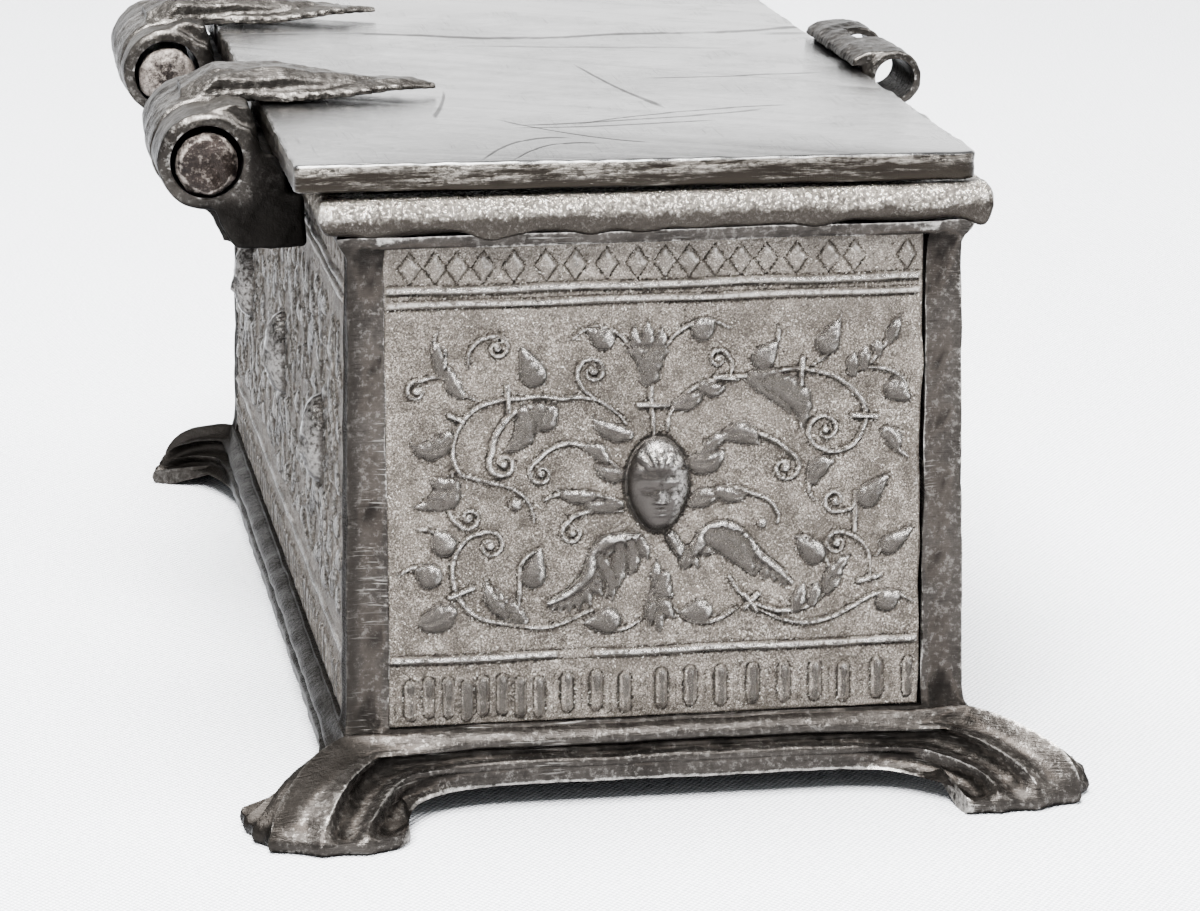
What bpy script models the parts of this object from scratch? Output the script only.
"""Holy oil box: a small cast metal casket on four fluted feet, with a hinged lid.

All sizes are millimetres and become metres when an object is made. While building, x runs
across the box (hinges at minus x, clasp at plus x), y along it and z up from the table.
Offsets called n are measured outwards from the nominal walls at HALF_W and HALF_L.
"""
import math
import random

import bmesh
import bpy
from mathutils import Matrix, Vector

MM = 0.001
GAP = 0.3              # air left between two pieces that touch or are soldered
ROUND = 20             # sides of a round bar
SHARP = 38.0           # edges that turn more than this many degrees stay crisp
random.seed(11)

# carcass: corner posts, fascia and moulded base in one casting
HALF_W = 36.0          # nominal half width over the corner arrises
HALF_L = 78.0          # nominal half length over the corner arrises
BASE_TOP = 9.6
FRAME_TOP = 67.7
FASCIA = 2.8           # height of the plain strip under the rim
FASCIA_Z = FRAME_TOP - FASCIA
FLARE = 0.9            # the fascia flares out this much at its top
LEAN_FOOT = 0.45       # the arris stands out this much at the base
LEAN_HEAD = -0.45      # and is drawn in this much below the fascia
WALL = 3.0
INNER_N = -WALL        # inside face of the frame
POST_DIP = 0.35        # the posts are slightly hollow across
POST = 4.6             # width of a post, from arris to panel seam

# the panels are let into rebates in the frame
SILL = 0.4             # base top to panel seam
HEAD = 1.5             # panel seam to frame top
LIP = 1.5              # the panel laps the frame by this much
REBATE_N = -2.1        # floor of the rebate that takes the panel
WIN_LOW = BASE_TOP + SILL
WIN_HIGH = FRAME_TOP - HEAD
WIN_X = HALF_W - POST
WIN_Y = HALF_L - POST

# floor plate on its ledge
LEDGE = 2.0            # the ledge stands in from the wall this much
LEDGE_N = INNER_N - LEDGE
LEDGE_DROP = 2.9       # base top to ledge
LEDGE_Z = BASE_TOP - LEDGE_DROP
FLOOR_THICK = 2.2

# feet: fluted fans that grow out of the base moulding at each corner
TOE_LIP = 2.0          # height of the lip at the toe
FOOT_RUN = 17.0        # the moulding starts to turn down this far from the corner
FOOT_STEPS = 8
CORNER_STEP = 3        # the step at which the top edge reaches the corner
TOE_IN = 2.6           # width of the band that stands on the table
TOE_REACH = 12.0
TOE = [(5.5, 9.0), (4.0, 10.8), (1.0, 11.8), (-3.5, 12.0), (-7.0, 11.4), (-9.9, 9.9)]   # as (s, n)
FLUTE = 1.15           # depth of the flutes
FOOT_ROOF = 1.1        # metal between the ledge and the hollow under a foot
# each foot: side of x, side of y, reach sideways, reach endways, how round its back is,
# and where its toe starts along the end wall and along the side wall
FEET = [(-1, -1, 12.8, 16.2, 1.7, 5.5, -2.5), (1, -1, 14.6, 13.0, 2.1, 1.8, 1.0),
        (-1, 1, 12.4, 14.4, 1.8, 4.0, -5.0), (1, 1, 13.0, 13.6, 1.8, 3.0, 0.0)]

# base moulding, bottom edge to top edge: fascia, bead, cove and torus,
# as (n, share of the height between the toe lip and the base top)
MOULD_SHARES = [(1.9, 0.118), (2.15, 0.21), (2.15, 0.355), (2.4, 0.414), (2.35, 0.5),
                (1.5, 0.553), (1.15, 0.618), (1.5, 0.684), (2.3, 0.737), (2.6, 0.816),
                (2.4, 0.895), (1.8, 0.961), (0.9, 1.0)]
MOULD = [(n, TOE_LIP + (BASE_TOP - TOE_LIP) * share) for n, share in MOULD_SHARES]

# rim moulding soldered on top of the frame
RIM_HIGH = 4.1
RIM_LOW = FRAME_TOP + GAP
RIM_TOP = RIM_LOW + RIM_HIGH
RIM_N = 2.95           # how far the rim overhangs the wall
RIM_ROUND = 1.2
RIM_IN = INNER_N + 0.2
RIM_EASE = 0.32        # height of the eased edges above and below
RIM = [(RIM_IN, RIM_LOW), (RIM_N - 1.75, RIM_LOW), (RIM_N - 0.65, RIM_LOW + RIM_EASE),
       (RIM_N, RIM_LOW + RIM_ROUND), (RIM_N, RIM_TOP - RIM_ROUND), (RIM_N - 0.45, RIM_TOP - RIM_EASE),
       (RIM_N - 1.05, RIM_TOP), (RIM_IN, RIM_TOP)]   # as (n, z)
RIM_STEP = 16.0        # spacing of the sections of the uneven band
RIM_DENT = 0.28        # how far the hammered skin is dented
RIM_WAVE = 0.3         # how far its lower edge wanders

# lid plate, over the rim: past it at the hinges, and lifted a little there
LID_LEFT = -HALF_W - 5.5
LID_RIGHT = HALF_W + 1.1
LID_HALF_L = HALF_L + 1.2
LID_LOW = RIM_TOP + GAP
LID_THICK = 3.25
LID_RISE = 0.6
LID_ROUND = 2.2        # corner radius on the clasp side; the hinge side has half of it
LID_EDGE = 0.35

# hinges: two brackets on the wall, two leaves on the lid, and a pin through each pair
AXIS_OUT = 12.8        # the axis stands out from the wall this much
AXIS_DROP = 0.8        # and lies this much under the rim top
AXIS_X = -HALF_W - AXIS_OUT
AXIS_Z = RIM_TOP - AXIS_DROP
PIN_R = 3.75
BORE_R = PIN_R + GAP
RING_R = BORE_R + 1.75
KNUCKLE_R = BORE_R + 1.95
NOTCH_R = KNUCKLE_R + 0.5
RING_A = 9.7           # outer ring of the bracket
KNUCKLE = 14.0         # ring of the lid leaf
RING_B = 6.7           # inner ring of the bracket
HINGE_LONG = RING_A + KNUCKLE + RING_B + 2.0 * GAP
NEAR_IN = 31.0         # the near hinge begins this far from its corner
FAR_IN = 25.0          # and the far one this far from its own
NEAR_Y = -HALF_L + NEAR_IN
FAR_Y = HALF_L - FAR_IN
# outer edge of a bracket below its ring, as (x, z) from the axis
GUSSET = [(-1.5, -3.0), (0.9, -6.0), (1.7, -8.0), (2.9, -10.2), (3.6, -10.7)]
BRACKET_LOW = AXIS_Z + GUSSET[-1][1]
BRACKET_TOP = RIM_TOP - 0.1
BRACKET_PAD = 2.6      # width of the flat along the rim
# root of a leaf: distance from the axis, width as a share of the knuckle, underside over the
# axis as a share of the knuckle radius, top over the lid
LEAF_ROOT = [(-1.2, 0.957, 0.27, -0.2), (2.3, 0.929, 0.565, 2.0)]
# blade of a leaf: distance from the axis, width as a share of the knuckle, gap under it, height
LEAF_BLADE = [(6.3, 0.871, GAP, 3.1), (10.3, 0.8, GAP, 3.7), (14.8, 0.743, 0.35, 3.0),
              (19.3, 0.686, 0.8, 2.5), (23.3, 0.514, 1.0, 2.1), (26.8, 0.3, 0.9, 1.5),
              (29.4, 0.071, 0.8, 0.8)]
LEAF_CROWN = (0.55, -0.45)   # edges of its flat top, as shares of the half width
LEAF_CHEEK = (0.6, 0.68)     # where its side faces end, as shares of the height

# clasp: a strap on the lid edge that ends in two open rings, its pin and hasp lost
CLASP_X = LID_RIGHT + 4.4
CLASP_DROP = 1.35      # the bore lies this much under the lid's upper face
CLASP_BORE = 2.55
CLASP_R = CLASP_BORE + 1.0
CLASP_MID = -1.5
CLASP_LONG = 30.0
CLASP_RING = 8.0       # length of each ring
STRAP_SHIFT = 0.6      # the strap is soldered on a little askew
STRAP_THICK = 1.6

# relief on the panels; heights stand on the panel face
PANEL_SINK = 0.15      # the panel face lies this far inside the post face
FILLETS = [(WIN_LOW + 7.9, 0.55), (WIN_HIGH - 6.7, 0.5), (WIN_HIGH - 4.9, 0.5)]   # height, half width
FILLET_H = 0.55
GAD_LOW = WIN_LOW + 1.0
GAD_HIGH = GAD_LOW + 5.7
GAD_PITCH = 3.1
GAD_MARGIN = 0.6       # plain edge beside the first and the last gadroon
GAD_EASE = 1.15        # length of its rounded ends
GAD_H = 1.0
FIELD_LOW = FILLETS[0][0] + FILLETS[0][1]
FIELD_HIGH = FILLETS[1][0] - FILLETS[1][1]
MASK_DROP = 1.0        # the masks lie this much under the middle of the field
MASK_Z = 0.5 * (FILLETS[0][0] + FILLETS[1][0]) - MASK_DROP
MASK_W = 3.55
MASK_HIGH = 5.6
MASK_H = 2.6
MASK_CHIN = 0.13       # the mask narrows by this share towards the chin
MASK_SIDES = 12
MASK_RINGS = [(1.0, -0.6), (0.95, 0.9), (0.62, 2.15)]   # share of the outline, height
MASKS_LONG = 3         # masks on a long side
# main scrolls of the arabesque, from beside a mask to the curl, as shares of the half width
# of the mask's bay and of the half height of the field
SCROLLS = [[(0.1, 0.32), (0.19, 0.48), (0.36, 0.555), (0.56, 0.545), (0.71, 0.43), (0.77, 0.2),
            (0.7, 0.03), (0.6, 0.06), (0.6, 0.17)],
           [(0.1, -0.37), (0.24, -0.54), (0.34, -0.76), (0.52, -0.865), (0.69, -0.78),
            (0.765, -0.56), (0.7, -0.36), (0.6, -0.38), (0.6, -0.5)]]
SCROLL_W = 1.5         # width of a scroll where it is widest
SCROLL_END = 0.5       # width of its ends, as a share of that
SCROLL_H = 0.55
SCROLL_ROOT = 0.5      # its back is sunk into the panel by this much

for old in list(bpy.data.objects):
    bpy.data.objects.remove(old, do_unlink=True)
parts = bpy.data.collections.new("holy_oil_box")
cutters = bpy.data.collections.new("cutters")
bpy.context.scene.collection.children.link(parts)
bpy.context.scene.collection.children.link(cutters)


def lid_top(x):
    """Height of the lid's upper face over the table at a place across the box."""
    return LID_LOW + LID_THICK + LID_RISE * (LID_RIGHT - x) / (LID_RIGHT - LID_LEFT)


def lean(z):
    """Offset of the post face at height z."""
    t = (z - BASE_TOP) / (FASCIA_Z - BASE_TOP)
    return LEAN_FOOT + (LEAN_HEAD - LEAN_FOOT) * t


def smooth_step(t):
    t = max(0.0, min(1.0, t))
    return t * t * (3.0 - 2.0 * t)


class Skin:
    """Collects the faces of a lofted shape, joining points that fall together."""

    def __init__(self):
        self.points = []
        self.index = {}
        self.faces = []

    def point(self, p):
        key = (round(p[0], 4), round(p[1], 4), round(p[2], 4))
        if key not in self.index:
            self.index[key] = len(self.points)
            self.points.append(key)
        return self.index[key]

    def face(self, *pts):
        ids = []
        for p in pts:
            i = self.point(p)
            if i not in ids:
                ids.append(i)
        if len(ids) > 2:
            self.faces.append(ids)

    def quad(self, a, b, c, d):
        self.face(a, b, c)
        self.face(a, c, d)

    def strip(self, row, other):
        """Fill between two rows of points that run the same way along u."""
        i = 0
        j = 0
        while i < len(row) - 1 or j < len(other) - 1:
            step_i = j == len(other) - 1
            if i < len(row) - 1 and j < len(other) - 1:
                step_i = row[i][0] + row[i + 1][0] <= other[j][0] + other[j + 1][0] + 1e-6
            if step_i:
                self.face(row[i], row[i + 1], other[j])
                i += 1
            else:
                self.face(row[i], other[j + 1], other[j])
                j += 1

    def solid(self):
        bm = bmesh.new()
        verts = [bm.verts.new(p) for p in self.points]
        for ids in self.faces:
            bm.faces.new([verts[i] for i in ids])
        return bm


def loft(loops, closed=False, skin=None):
    """Skin a list of loops that all have the same number of points, onto a skin if one is given."""
    skin = skin or Skin()
    count = len(loops[0])
    pairs = list(zip(loops[:-1], loops[1:]))
    if closed:
        pairs.append((loops[-1], loops[0]))
    for low, high in pairs:
        for i in range(count):
            k = (i + 1) % count
            skin.quad(low[i], low[k], high[k], high[i])
    if not closed:
        skin.face(*loops[0])
        skin.face(*loops[-1])
    return skin


def block(x0, x1, y0, y1, z0, z1):
    """A box between two corners."""
    bm = bmesh.new()
    middle = Vector((x0 + x1, y0 + y1, z0 + z1)) / 2.0
    size = Matrix.Diagonal((x1 - x0, y1 - y0, z1 - z0, 1.0))
    bmesh.ops.create_cube(bm, size=1.0, matrix=Matrix.Translation(middle) @ size)
    return bm


def bar(x, z, radius, y0, y1):
    """A round bar along y."""
    bm = bmesh.new()
    middle = Matrix.Translation((x, 0.5 * (y0 + y1), z))
    bmesh.ops.create_cone(bm, cap_ends=True, segments=ROUND, radius1=radius, radius2=radius,
                          depth=abs(y1 - y0),
                          matrix=middle @ Matrix.Rotation(math.radians(90.0), 4, 'X'))
    return bm


def slab(outline, y0, y1):
    """A flat outline of (x, z) points, extruded along y."""
    bm = bmesh.new()
    face = bm.faces.new([bm.verts.new((x, y0, z)) for x, z in outline])
    grown = bmesh.ops.extrude_face_region(bm, geom=[face])
    moved = [item for item in grown["geom"] if isinstance(item, bmesh.types.BMVert)]
    bmesh.ops.translate(bm, verts=moved, vec=(0.0, y1 - y0, 0.0))
    return bm


def material(name, colour, rough, metal=1.0):
    m = bpy.data.materials.new(name)
    m.use_nodes = True
    shader = m.node_tree.nodes["Principled BSDF"]
    shader.inputs["Base Color"].default_value = (*colour, 1.0)
    shader.inputs["Roughness"].default_value = rough
    shader.inputs["Metallic"].default_value = metal
    return m


def place(name, data, mat, pivot):
    """Put a mesh in the scene with its origin at pivot; without a material it is a cutter.

    The whole box is moved by the same CENTRE so that the origin lies under its middle.
    """
    obj = bpy.data.objects.new(name, data)
    obj.location = (Vector(pivot) - CENTRE) * MM
    if mat is None:
        cutters.objects.link(obj)
        obj.hide_render = True
        obj.display_type = 'WIRE'
    else:
        parts.objects.link(obj)
        data.materials.append(mat)
    return obj


def build(name, bm, mat=None, smooth=False, pivot=(0.0, 0.0, 0.0)):
    """Turn a bmesh in millimetres into a named object; a smooth one is shaded round
    over its small faces, except across its sharp edges.
    """
    bmesh.ops.recalc_face_normals(bm, faces=bm.faces)
    if bm.calc_volume(signed=True) < 0.0:
        bmesh.ops.reverse_faces(bm, faces=bm.faces)
    for vert in bm.verts:
        vert.co = (vert.co - Vector(pivot)) * MM
    data = bpy.data.meshes.new(name)
    bm.to_mesh(data)
    bm.free()
    if smooth:
        for poly in data.polygons:
            poly.use_smooth = len(poly.vertices) < 5
        data.set_sharp_from_angle(angle=math.radians(SHARP))
    return place(name, data, mat, pivot)


def boolean(obj, other, how):
    mod = obj.modifiers.new(how.lower() + "_" + other.name, 'BOOLEAN')
    mod.operation = how
    mod.solver = 'EXACT'
    mod.object = other


# base moulding with its four feet

def along(table, u):
    """Point at the share u of a table of points, joined by straight lines."""
    t = u * (len(table) - 1)
    i = min(int(t), len(table) - 2)
    f = t - i
    return tuple(a + (b - a) * f for a, b in zip(table[i], table[i + 1]))


def toe_line(u, start):
    """Toe outline as (s, n), beginning at s = start and ending on the corner's diagonal."""
    s = start + (TOE[-1][0] - start) * u
    for (s0, n0), (s1, n1) in zip(TOE[:-1], TOE[1:]):
        if s >= s1:
            break
    return (s, n0 + (n1 - n0) * (s - s0) / (s1 - s0))


def foot_point(u, t, back, toe_at):
    """Point of a foot's outer skin as (s inwards along the wall, n outwards, z).

    u runs from the arch edge to the corner arris and t from the moulding to the toe.
    The skin is stretched between its four edges.
    """
    corner = CORNER_STEP / FOOT_STEPS

    def arch_edge(tt):
        a = math.pi / 2.0 * tt
        n0, z0 = MOULD[0]
        s1, n1 = toe_line(0.0, toe_at)
        return (FOOT_RUN + (s1 - FOOT_RUN) * math.sin(a), n0 + (n1 - n0) * (1.0 - math.cos(a)),
                TOE_LIP + (z0 - TOE_LIP) * math.cos(a))

    def top_edge(tt):
        n0, z0 = MOULD[-1]
        if tt <= corner:
            return (FOOT_RUN + (-n0 - FOOT_RUN) * tt / corner, n0, z0)
        share = math.sin(math.pi / 2.0 * (tt - corner) / (1.0 - corner))
        r = n0 + (TOE[-1][1] - n0) * share
        drop = (1.0 - min(1.0, share) ** back) ** (1.0 / back)
        return (-r, r, TOE_LIP + (z0 - TOE_LIP) * drop)

    def start(uu):
        n, z = along(MOULD, uu)
        return (FOOT_RUN, n, z)

    def toe(uu):
        s, n = toe_line(uu, toe_at)
        return (s, n, TOE_LIP)

    a, b, c, d = arch_edge(t), top_edge(t), start(u), toe(u)
    a0, a1, b0, b1 = arch_edge(0.0), arch_edge(1.0), top_edge(0.0), top_edge(1.0)
    out = []
    for i in range(3):
        blend = (1.0 - u) * a[i] + u * b[i] + (1.0 - t) * c[i] + t * d[i]
        blend -= (1.0 - u) * ((1.0 - t) * a0[i] + t * a1[i]) + u * ((1.0 - t) * b0[i] + t * b1[i])
        out.append(blend)
    return Vector(out)


def fluted_point(u, t, back, toe_at):
    """Foot skin with its three flutes sunk along the surface normal."""
    p = foot_point(u, t, back, toe_at)
    fade = smooth_step(t / 0.55) * (1.0 - 0.7 * smooth_step((t - 0.8) / 0.2))
    depth = FLUTE * abs(math.sin(3.0 * math.pi * u)) * fade
    if depth < 1e-6:
        return p
    e = 0.02
    du = foot_point(min(1.0, u + e), t, back, toe_at) - foot_point(max(0.0, u - e), t, back, toe_at)
    dt = foot_point(u, min(1.0, t + e), back, toe_at) - foot_point(u, max(0.0, t - e), back, toe_at)
    normal = du.cross(dt)
    normal.normalize()
    if normal.y < 0.0:
        normal.negate()
    return p - normal * depth


def reach(value, limit):
    """Stretch what lies outside the wall so that the toe gets its own reach."""
    return value * (1.0 + (limit / TOE_REACH - 1.0) * smooth_step((value - 2.6) / 7.0))


def base_skin():
    skin = Skin()
    rows = len(MOULD) - 1
    top_s = -MOULD[-1][0]
    for sx, sy, side, end, back, toe_end, toe_side in FEET:
        def corner_point(p, q, z):
            return (sx * (HALF_W + reach(p, side)), sy * (HALF_L + reach(q, end)), z)

        for face in (0, 1):
            half = (HALF_W, HALF_L)[face]
            toe_at = (toe_end, toe_side)[face]

            def world(s, n, z):
                return corner_point(-s, n, z) if face == 0 else corner_point(n, -s, z)

            def inner(s, n, z):
                """Inside line: the corner of the line falls under the corner of the moulding."""
                if s < FOOT_RUN:
                    s = -n + (s - top_s) * (FOOT_RUN + n) / (FOOT_RUN - top_s)
                return world(s, n, z)

            grid = [[world(half, n, z) for n, z in MOULD]]
            for j in range(FOOT_STEPS + 1):
                col = []
                for i in range(rows + 1):
                    q = fluted_point(i / rows, j / FOOT_STEPS, back, toe_at)
                    col.append(world(q.x, q.y, q.z))
                grid.append(col)
            for low, high in zip(grid[:-1], grid[1:]):
                for i in range(rows):
                    skin.quad(low[i], low[i + 1], high[i + 1], high[i])
            # inside of the ring, with the ledge that carries the floor
            ring = []
            for j in range(CORNER_STEP + 2):
                s = half
                if j > 0:
                    s = foot_point(1.0, (j - 1) / FOOT_STEPS, back, toe_at).x
                drop = LEDGE_Z - FOOT_ROOF if j == CORNER_STEP + 1 else MOULD[0][1]
                ring.append([grid[j][rows], inner(s, INNER_N, BASE_TOP), inner(s, INNER_N, LEDGE_Z),
                             inner(s, LEDGE_N, LEDGE_Z), inner(s, LEDGE_N, drop), grid[j][0]])
            for low, high in zip(ring[:-1], ring[1:]):
                for i in range(5):
                    skin.quad(low[i], low[i + 1], high[i + 1], high[i])
            # underside of the foot: a lip on the table around a shallow hollow
            roof = ring[-1][4]
            for j in range(CORNER_STEP + 1, FOOT_STEPS + 1):
                skin.face(grid[j][0], grid[j + 1][0], roof)
            toe = grid[-1]
            ground = []
            inset = []
            for x, y, z in toe:
                away = Vector((x - roof[0], y - roof[1], 0.0)).normalized()
                ground.append((x - GAP * away.x, y - GAP * away.y, 0.0))
                inset.append((x - TOE_IN * away.x, y - TOE_IN * away.y, 0.0))
            skin.face(toe[0], ground[0], inset[0])
            skin.face(toe[0], inset[0], roof)
            for i in range(rows):
                skin.quad(toe[i], toe[i + 1], ground[i + 1], ground[i])
                skin.quad(ground[i], ground[i + 1], inset[i + 1], inset[i])
                skin.face(inset[i], inset[i + 1], roof)
    return skin


# upper frame

def frame_loop(z, n):
    """Plan outline of the posts at height z, slightly hollow on each post face."""
    w = HALF_W + n
    h = HALF_L + n
    loop = []
    for sx, sy, turn in ((-1, -1, 1), (1, -1, 0), (1, 1, 1), (-1, 1, 0)):
        pts = [(w - POST, h), (w - 0.5 * POST, h - POST_DIP), (w, h),
               (w - POST_DIP, h - 0.5 * POST), (w, h - POST)]
        if turn:
            pts = pts[::-1]
        for x, y in pts:
            loop.append((sx * x, sy * y, z))
    return loop


def frame_skin():
    levels = [(BASE_TOP - 1.4, LEAN_FOOT), (BASE_TOP, LEAN_FOOT), (FASCIA_Z, LEAN_HEAD),
              (FASCIA_Z + 0.6 * FASCIA, LEAN_HEAD + 0.25), (FRAME_TOP, FLARE)]
    return loft([frame_loop(z, n) for z, n in levels])


tin = material("cast_grey_metal", (0.36, 0.35, 0.335), 0.42)
panel_tin = material("tan_panel_metal", (0.40, 0.375, 0.345), 0.5)
rim_tin = material("bright_solder_rim", (0.46, 0.445, 0.42), 0.36)
lid_tin = material("polished_lid_metal", (0.62, 0.61, 0.60), 0.22)
floor_tin = material("dull_floor_metal", (0.30, 0.29, 0.28), 0.6)
leaf_tin = material("worn_hinge_metal", (0.40, 0.39, 0.375), 0.36)
bracket_tin = material("dark_bracket_metal", (0.20, 0.19, 0.18), 0.5)
rust = material("rusty_iron", (0.19, 0.12, 0.09), 0.75, 0.6)
clasp_tin = material("clasp_metal", (0.37, 0.355, 0.335), 0.38)

base_shape = base_skin()
spread_x = [p[0] for p in base_shape.points] + [AXIS_X - KNUCKLE_R]
spread_y = [p[1] for p in base_shape.points]
CENTRE = Vector((0.5 * (min(spread_x) + max(spread_x)), 0.5 * (min(spread_y) + max(spread_y)), 0.0))

base = build("base_ring", base_shape.solid(), smooth=True)
carcass = build("carcass", frame_skin().solid(), tin)
inside_x = HALF_W + INNER_N
inside_y = HALF_L + INNER_N
past = 10.0            # how far a cutter runs past what it cuts
cavity = build("cavity", block(-inside_x, inside_x, -inside_y, inside_y,
                               BASE_TOP - past, FRAME_TOP + past))
boolean(carcass, cavity, 'DIFFERENCE')
hole_x = WIN_X - LIP
hole_y = WIN_Y - LIP
hole_low = WIN_LOW + LIP
hole_high = WIN_HIGH - LIP
out_x = HALF_W + past
out_y = HALF_L + past
for name, shape in (("window_across", block(-out_x, out_x, -hole_y, hole_y, hole_low, hole_high)),
                    ("window_along", block(-hole_x, hole_x, -out_y, out_y, hole_low, hole_high)),
                    ("rebate_clasp", block(HALF_W + REBATE_N, out_x, -WIN_Y, WIN_Y, WIN_LOW, WIN_HIGH)),
                    ("rebate_hinge", block(-out_x, -HALF_W - REBATE_N, -WIN_Y, WIN_Y, WIN_LOW, WIN_HIGH)),
                    ("rebate_far", block(-WIN_X, WIN_X, HALF_L + REBATE_N, out_y, WIN_LOW, WIN_HIGH)),
                    ("rebate_near", block(-WIN_X, WIN_X, -out_y, -HALF_L - REBATE_N, WIN_LOW, WIN_HIGH))):
    boolean(carcass, build(name, shape), 'DIFFERENCE')
boolean(carcass, base, 'UNION')

floor_x = inside_x - GAP
floor_y = inside_y - GAP
floor_low = LEDGE_Z + GAP
build("floor_plate", block(-floor_x, floor_x, -floor_y, floor_y,
                           floor_low, floor_low + FLOOR_THICK), floor_tin)


# relief panels

def panel_skin(half):
    """A panel seen from outside as (u to the right, n outwards, z up)."""
    edge = half - GAP
    low = WIN_LOW + GAP
    high = WIN_HIGH - GAP
    back = REBATE_N + GAP
    skin = Skin()

    def on(u, z, h=0.0):
        return (u, lean(z) - PANEL_SINK + h, z)

    count = int(2.0 * edge / GAD_PITCH)
    pitch = 2.0 * (edge - GAD_MARGIN) / count
    creases = [-edge] + [-edge + GAD_MARGIN + pitch * i for i in range(count + 1)] + [edge]
    below = [on(u, GAD_LOW) for u in creases]
    above = [on(u, GAD_HIGH) for u in creases]
    for i in range(count + 2):
        a, b, c, d = below[i], below[i + 1], above[i + 1], above[i]
        if i in (0, count + 1):
            skin.quad(a, b, c, d)
            continue
        u = 0.5 * (a[0] + b[0])
        foot = on(u, GAD_LOW + GAD_EASE, GAD_H)
        head = on(u, GAD_HIGH - GAD_EASE, GAD_H)
        skin.face(a, b, foot)
        skin.quad(b, c, head, foot)
        skin.face(c, d, head)
        skin.quad(d, a, foot, head)
    rows = [above]
    for z, w in FILLETS:
        for dz, h in ((-w, 0.0), (-0.5 * w, FILLET_H), (0.5 * w, FILLET_H), (w, 0.0)):
            rows.append([on(-edge, z + dz, h), on(edge, z + dz, h)])
    rows.append([on(-edge, high), on(edge, high)])
    for a, b in zip(rows[:-1], rows[1:]):
        skin.strip(a, b)
    rows = [[on(-edge, low), on(edge, low)], below] + rows
    skin.strip(rows[0], below)
    # sides and back
    outline = rows[0] + [r[-1] for r in rows[1:-1]] + rows[-1][::-1] + [r[0] for r in rows[-2:0:-1]]
    behind = [(u, back, z) for u, n, z in outline]
    for i in range(len(outline)):
        k = (i + 1) % len(outline)
        skin.quad(outline[i], outline[k], behind[k], behind[i])
    skin.face(*behind)
    return skin


def mask_skin(mid):
    """Egg shaped boss of a mask, its back sunk into the panel."""
    loops = []
    for share, h in MASK_RINGS:
        loop = []
        for i in range(MASK_SIDES):
            a = 2.0 * math.pi * i / MASK_SIDES
            narrow = 1.0 - MASK_CHIN * max(0.0, -math.sin(a))
            u = mid + MASK_W * share * narrow * math.cos(a)
            z = MASK_Z + MASK_HIGH * share * math.sin(a)
            loop.append((u, lean(z) - PANEL_SINK + h, z))
        loops.append(loop)
    skin = Skin()
    for low, high in zip(loops[:-1], loops[1:]):
        for i in range(MASK_SIDES):
            k = (i + 1) % MASK_SIDES
            skin.quad(low[i], low[k], high[k], high[i])
    skin.face(*loops[0])
    crown = (mid, lean(MASK_Z) - PANEL_SINK + MASK_H, MASK_Z - 0.4)
    for i in range(MASK_SIDES):
        skin.face(loops[-1][i], loops[-1][(i + 1) % MASK_SIDES], crown)
    return skin


def scroll_skin(mids, half):
    """Ridges of the main scrolls on both sides of each mask, their backs sunk into the panel."""
    middle = 0.5 * (FIELD_LOW + FIELD_HIGH)
    tall = 0.5 * (FIELD_HIGH - FIELD_LOW)
    spread = (SCROLL_H + SCROLL_ROOT) / SCROLL_H
    skin = Skin()
    for mid in mids:
        for side in (-1.0, 1.0):
            for shares in SCROLLS:
                path = [Vector((mid + side * half * a, middle + tall * b)) for a, b in shares]
                loops = []
                for k, here in enumerate(path):
                    ahead = path[min(k + 1, len(path) - 1)] - path[max(k - 1, 0)]
                    across = Vector((-ahead.y, ahead.x)).normalized()
                    belly = math.sin(math.pi * k / (len(path) - 1))
                    w = 0.5 * SCROLL_W * (SCROLL_END + (1.0 - SCROLL_END) * belly) * spread
                    loop = []
                    for share, h in ((-1.0, -SCROLL_ROOT), (0.0, SCROLL_H), (1.0, -SCROLL_ROOT)):
                        u, z = here + across * w * share
                        loop.append((u, lean(z) - PANEL_SINK + h, z))
                    loops.append(loop)
                loft(loops, skin=skin)
    return skin


def turned(skin, angle, wall):
    """Turn a panel to its side of the box; wall is the nominal half size there."""
    out = Skin()
    c = math.cos(angle)
    s = math.sin(angle)
    order = []
    for u, n, z in skin.points:
        d = -(wall + n)
        order.append(out.point((u * c - d * s, u * s + d * c, z)))
    out.faces = [[order[i] for i in ids] for ids in skin.faces]
    return out.solid()


bay = WIN_Y / MASKS_LONG   # half width of the bay round a mask on a long side
one = [0.0]
many = [2.0 * bay * (k - 0.5 * (MASKS_LONG - 1)) for k in range(MASKS_LONG)]
for name, angle, half, wall, masks in (("end_panel_near", 0.0, WIN_X, HALF_L, one),
                                       ("end_panel_far", math.pi, WIN_X, HALF_L, one),
                                       ("side_panel_clasp", math.pi / 2.0, WIN_Y, HALF_W, many),
                                       ("side_panel_hinge", -math.pi / 2.0, WIN_Y, HALF_W, many)):
    panel = build(name, turned(panel_skin(half), angle, wall), panel_tin)
    for number, mid in enumerate(masks):
        boss = build("mask_%d_of_%s" % (number, name), turned(mask_skin(mid), angle, wall))
        boolean(panel, boss, 'UNION')
    scrolls = scroll_skin(masks, half / len(masks))
    boolean(panel, build("scrolls_of_" + name, turned(scrolls, angle, wall)), 'UNION')


# rim moulding

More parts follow.
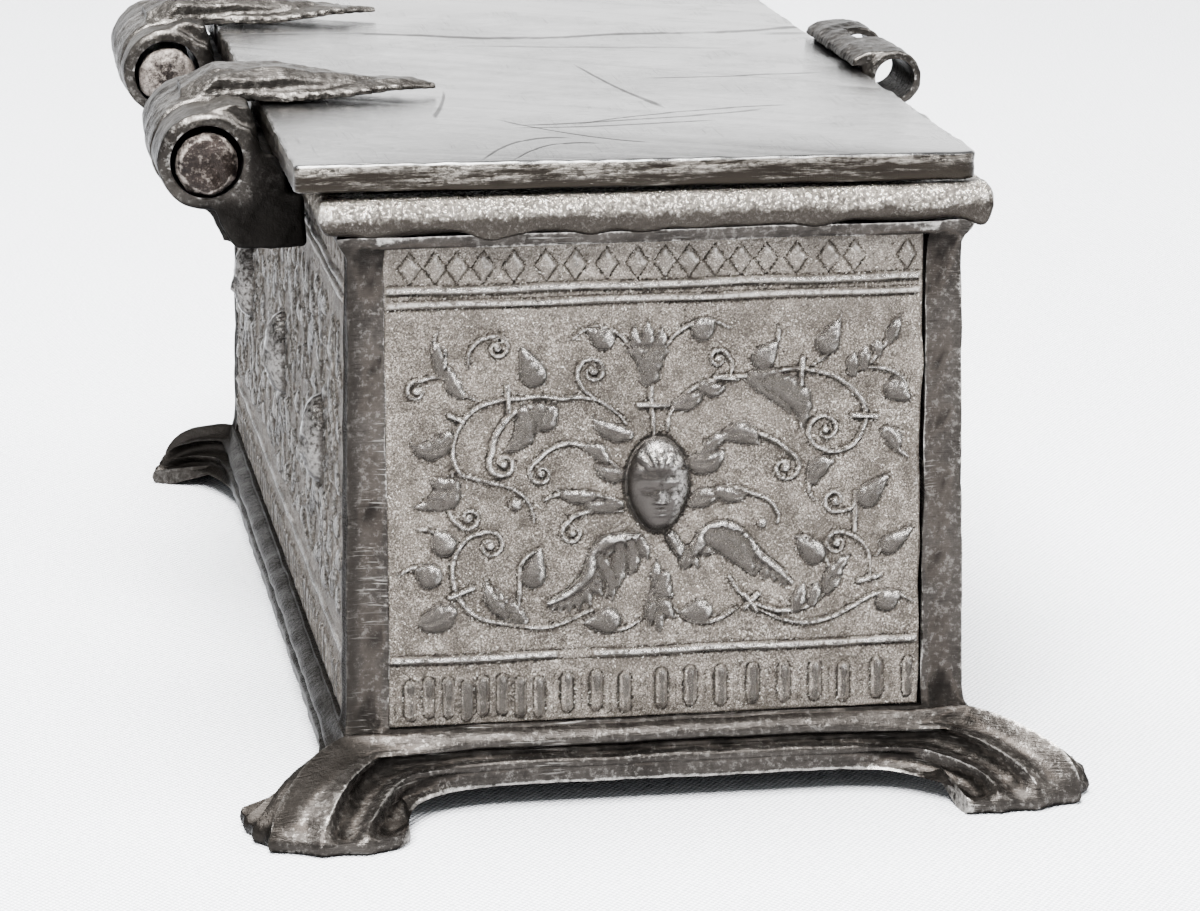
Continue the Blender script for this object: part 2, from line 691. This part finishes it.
def rim_skin():
    """The rim profile carried round the box, each length dented a little differently."""
    loops = []
    corners = [(-1, -1), (1, -1), (1, 1), (-1, 1)]
    for k in range(4):
        ax, ay = corners[k]
        bx, by = corners[(k + 1) % 4]
        length = 2.0 * (HALF_W if ay == by else HALF_L)
        steps = max(2, int(round(length / RIM_STEP)))
        for i in range(steps):
            f = i / steps
            loop = []
            for number, (n, z) in enumerate(RIM):
                x = (ax * (1.0 - f) + bx * f) * (HALF_W + n)
                y = (ay * (1.0 - f) + by * f) * (HALF_L + n)
                if number in (2, 3, 4, 5):
                    pull = random.uniform(0.0, RIM_DENT)
                    if ay == by:
                        y -= math.copysign(pull, y)
                    else:
                        x -= math.copysign(pull, x)
                if number == 2:
                    z += random.uniform(-0.5 * RIM_WAVE, RIM_WAVE)
                if number == 5:
                    z -= random.uniform(0.0, 0.5 * RIM_WAVE)
                loop.append((x, y, z))
            loops.append(loop)
    return loft(loops, closed=True)


build("rim_moulding", rim_skin().solid(), rim_tin)

# lid and what turns with it
PIVOT = (AXIS_X, 0.0, AXIS_Z)


def lid_plate():
    """Plate with rounded corners and softened edges, tipped up a little at the hinges."""
    bm = block(LID_LEFT, LID_RIGHT, -LID_HALF_L, LID_HALF_L, LID_LOW, LID_LOW + LID_THICK)
    for side, radius in ((1.0, LID_ROUND), (-1.0, 0.5 * LID_ROUND)):
        upright = [e for e in bm.edges if (e.verts[0].co - e.verts[1].co).xy.length < 0.01
                   and e.verts[0].co.x * side > 0.0]
        bmesh.ops.bevel(bm, geom=upright, offset=radius, segments=4, profile=0.5, affect='EDGES')
    for vert in bm.verts:
        vert.co.z += lid_top(vert.co.x) - LID_LOW - LID_THICK
    lid = build("lid_plate", bm, lid_tin, pivot=PIVOT)
    edge = lid.modifiers.new("soft_edge", 'BEVEL')
    edge.width = LID_EDGE * MM
    edge.segments = 1
    edge.limit_method = 'ANGLE'
    edge.angle_limit = math.radians(60.0)


lid_plate()


def leaf_skin(mid):
    """The thick pointed leaf that lies on the lid, lofted along x."""
    sections = []
    for out, wide, share, over in LEAF_ROOT:
        sections.append((out, wide, AXIS_Z + share * KNUCKLE_R, lid_top(AXIS_X + out) + over))
    for out, wide, under, tall in LEAF_BLADE:
        low = lid_top(AXIS_X + out) + under
        sections.append((out, wide, low, low + tall))
    loops = []
    for out, wide, low, high in sections:
        x = AXIS_X + out
        w = 0.5 * KNUCKLE * wide
        right, left = (low + share * (high - low) for share in LEAF_CHEEK)
        loops.append([(x, mid - w, low), (x, mid + w, low), (x, mid + w, right),
                      (x, mid + LEAF_CROWN[0] * w, high), (x, mid + LEAF_CROWN[1] * w, high),
                      (x, mid - w, left)])
    return loft(loops)


def pin(name, y0, y1):
    """A pin turned from its half outline: a small boss on the end at y0, both ends eased."""
    ease = math.copysign(0.45, y1 - y0)
    outline = [(0.0, y0 - ease), (0.45 * PIN_R, y0 - ease), (0.55 * PIN_R, y0), (0.9 * PIN_R, y0),
               (PIN_R, y0 + ease), (PIN_R, y1 - ease), (0.8 * PIN_R, y1), (0.0, y1)]
    if y1 > y0:
        outline = outline[::-1]
    data = bpy.data.meshes.new(name)
    steps = [(i, i + 1) for i in range(len(outline) - 1)]
    data.from_pydata([(r * MM, y * MM, 0.0) for r, y in outline], steps, [])
    obj = place(name, data, rust, (AXIS_X, 0.0, AXIS_Z))
    turn = obj.modifiers.new("turn", 'SCREW')
    turn.axis = 'Y'
    turn.steps = ROUND
    turn.render_steps = ROUND
    turn.use_merge_vertices = True
    turn.merge_threshold = 0.00001
    turn.use_smooth_shade = False


def hinge(tag, outer, way):
    """One hinge: outer is the end of the bracket nearer the end of the box, way points inwards."""
    def span(a, b):
        return sorted((outer + way * a, outer + way * b))

    y0, y1 = span(RING_A + GAP, RING_A + GAP + KNUCKLE)
    leaf = build("hinge_leaf_" + tag, bar(AXIS_X, AXIS_Z, KNUCKLE_R, y0, y1), leaf_tin, True, PIVOT)
    blade = build("blade_" + tag, leaf_skin(0.5 * (y0 + y1)).solid())
    boolean(leaf, blade, 'UNION')
    bore = build("bore_" + tag, bar(AXIS_X, AXIS_Z, BORE_R, *span(-past, HINGE_LONG + past)), smooth=True)
    boolean(leaf, bore, 'DIFFERENCE')

    wall_x = -HALF_W - FLARE - GAP
    rim_x = -HALF_W - RIM_N - GAP
    step_z = RIM_LOW - 2.0 * GAP
    outline = [(AXIS_X + x, AXIS_Z + z) for x, z in GUSSET]
    outline += [(wall_x, BRACKET_LOW), (wall_x, step_z), (rim_x, step_z), (rim_x, BRACKET_TOP),
                (rim_x - BRACKET_PAD, BRACKET_TOP), (AXIS_X + 3.0, AXIS_Z + 2.0)]
    bracket = build("hinge_bracket_" + tag, slab(outline, *span(0.0, HINGE_LONG)), bracket_tin)
    barrel = build("barrel_" + tag, bar(AXIS_X, AXIS_Z, RING_R, *span(0.0, HINGE_LONG)), smooth=True)
    boolean(bracket, barrel, 'UNION')
    notch_span = span(RING_A, HINGE_LONG - RING_B)
    notch = build("notch_" + tag, bar(AXIS_X, AXIS_Z, NOTCH_R, *notch_span), smooth=True)
    boolean(bracket, notch, 'DIFFERENCE')
    boolean(bracket, bore, 'DIFFERENCE')
    pin("hinge_pin_" + tag, outer - way * 0.25, outer + way * (HINGE_LONG + 0.4))


hinge("near", NEAR_Y, 1)
hinge("far", FAR_Y, -1)

# clasp on the lid edge
lid_face = lid_top(LID_RIGHT)
clasp_z = lid_face - CLASP_DROP
lift = lid_face + GAP
edge_x = LID_RIGHT + GAP
strap = [(LID_RIGHT - 1.0, lift), (edge_x, lift), (edge_x, clasp_z - 0.9),
         (CLASP_X - 3.2, clasp_z - 1.3), (CLASP_X - 1.6, clasp_z + 1.0),
         (CLASP_X, clasp_z + CLASP_R - 1.2), (CLASP_X, clasp_z + CLASP_R - 0.05),
         (CLASP_X - 2.4, lift + STRAP_THICK + 0.2), (LID_RIGHT + 0.6, lift + STRAP_THICK),
         (LID_RIGHT - 0.7, lift + 0.9)]
clasp_near = CLASP_MID - 0.5 * CLASP_LONG
clasp_far = CLASP_MID + 0.5 * CLASP_LONG
clasp = build("clasp_strap", slab(strap, clasp_near + STRAP_SHIFT, clasp_far + STRAP_SHIFT),
              clasp_tin, pivot=PIVOT)
for tag, y0 in (("near", clasp_near), ("far", clasp_far - CLASP_RING)):
    ring = build("clasp_ring_" + tag, bar(CLASP_X, clasp_z, CLASP_R, y0, y0 + CLASP_RING), smooth=True)
    boolean(clasp, ring, 'UNION')
hole = build("clasp_bore", bar(CLASP_X, clasp_z, CLASP_BORE, clasp_near - past, clasp_far + past),
             smooth=True)
boolean(clasp, hole, 'DIFFERENCE')
between = build("clasp_gap", block(CLASP_X - 2.2, CLASP_X + past,
                                   clasp_near + CLASP_RING, clasp_far - CLASP_RING,
                                   clasp_z - past, clasp_z + past))
boolean(clasp, between, 'DIFFERENCE')
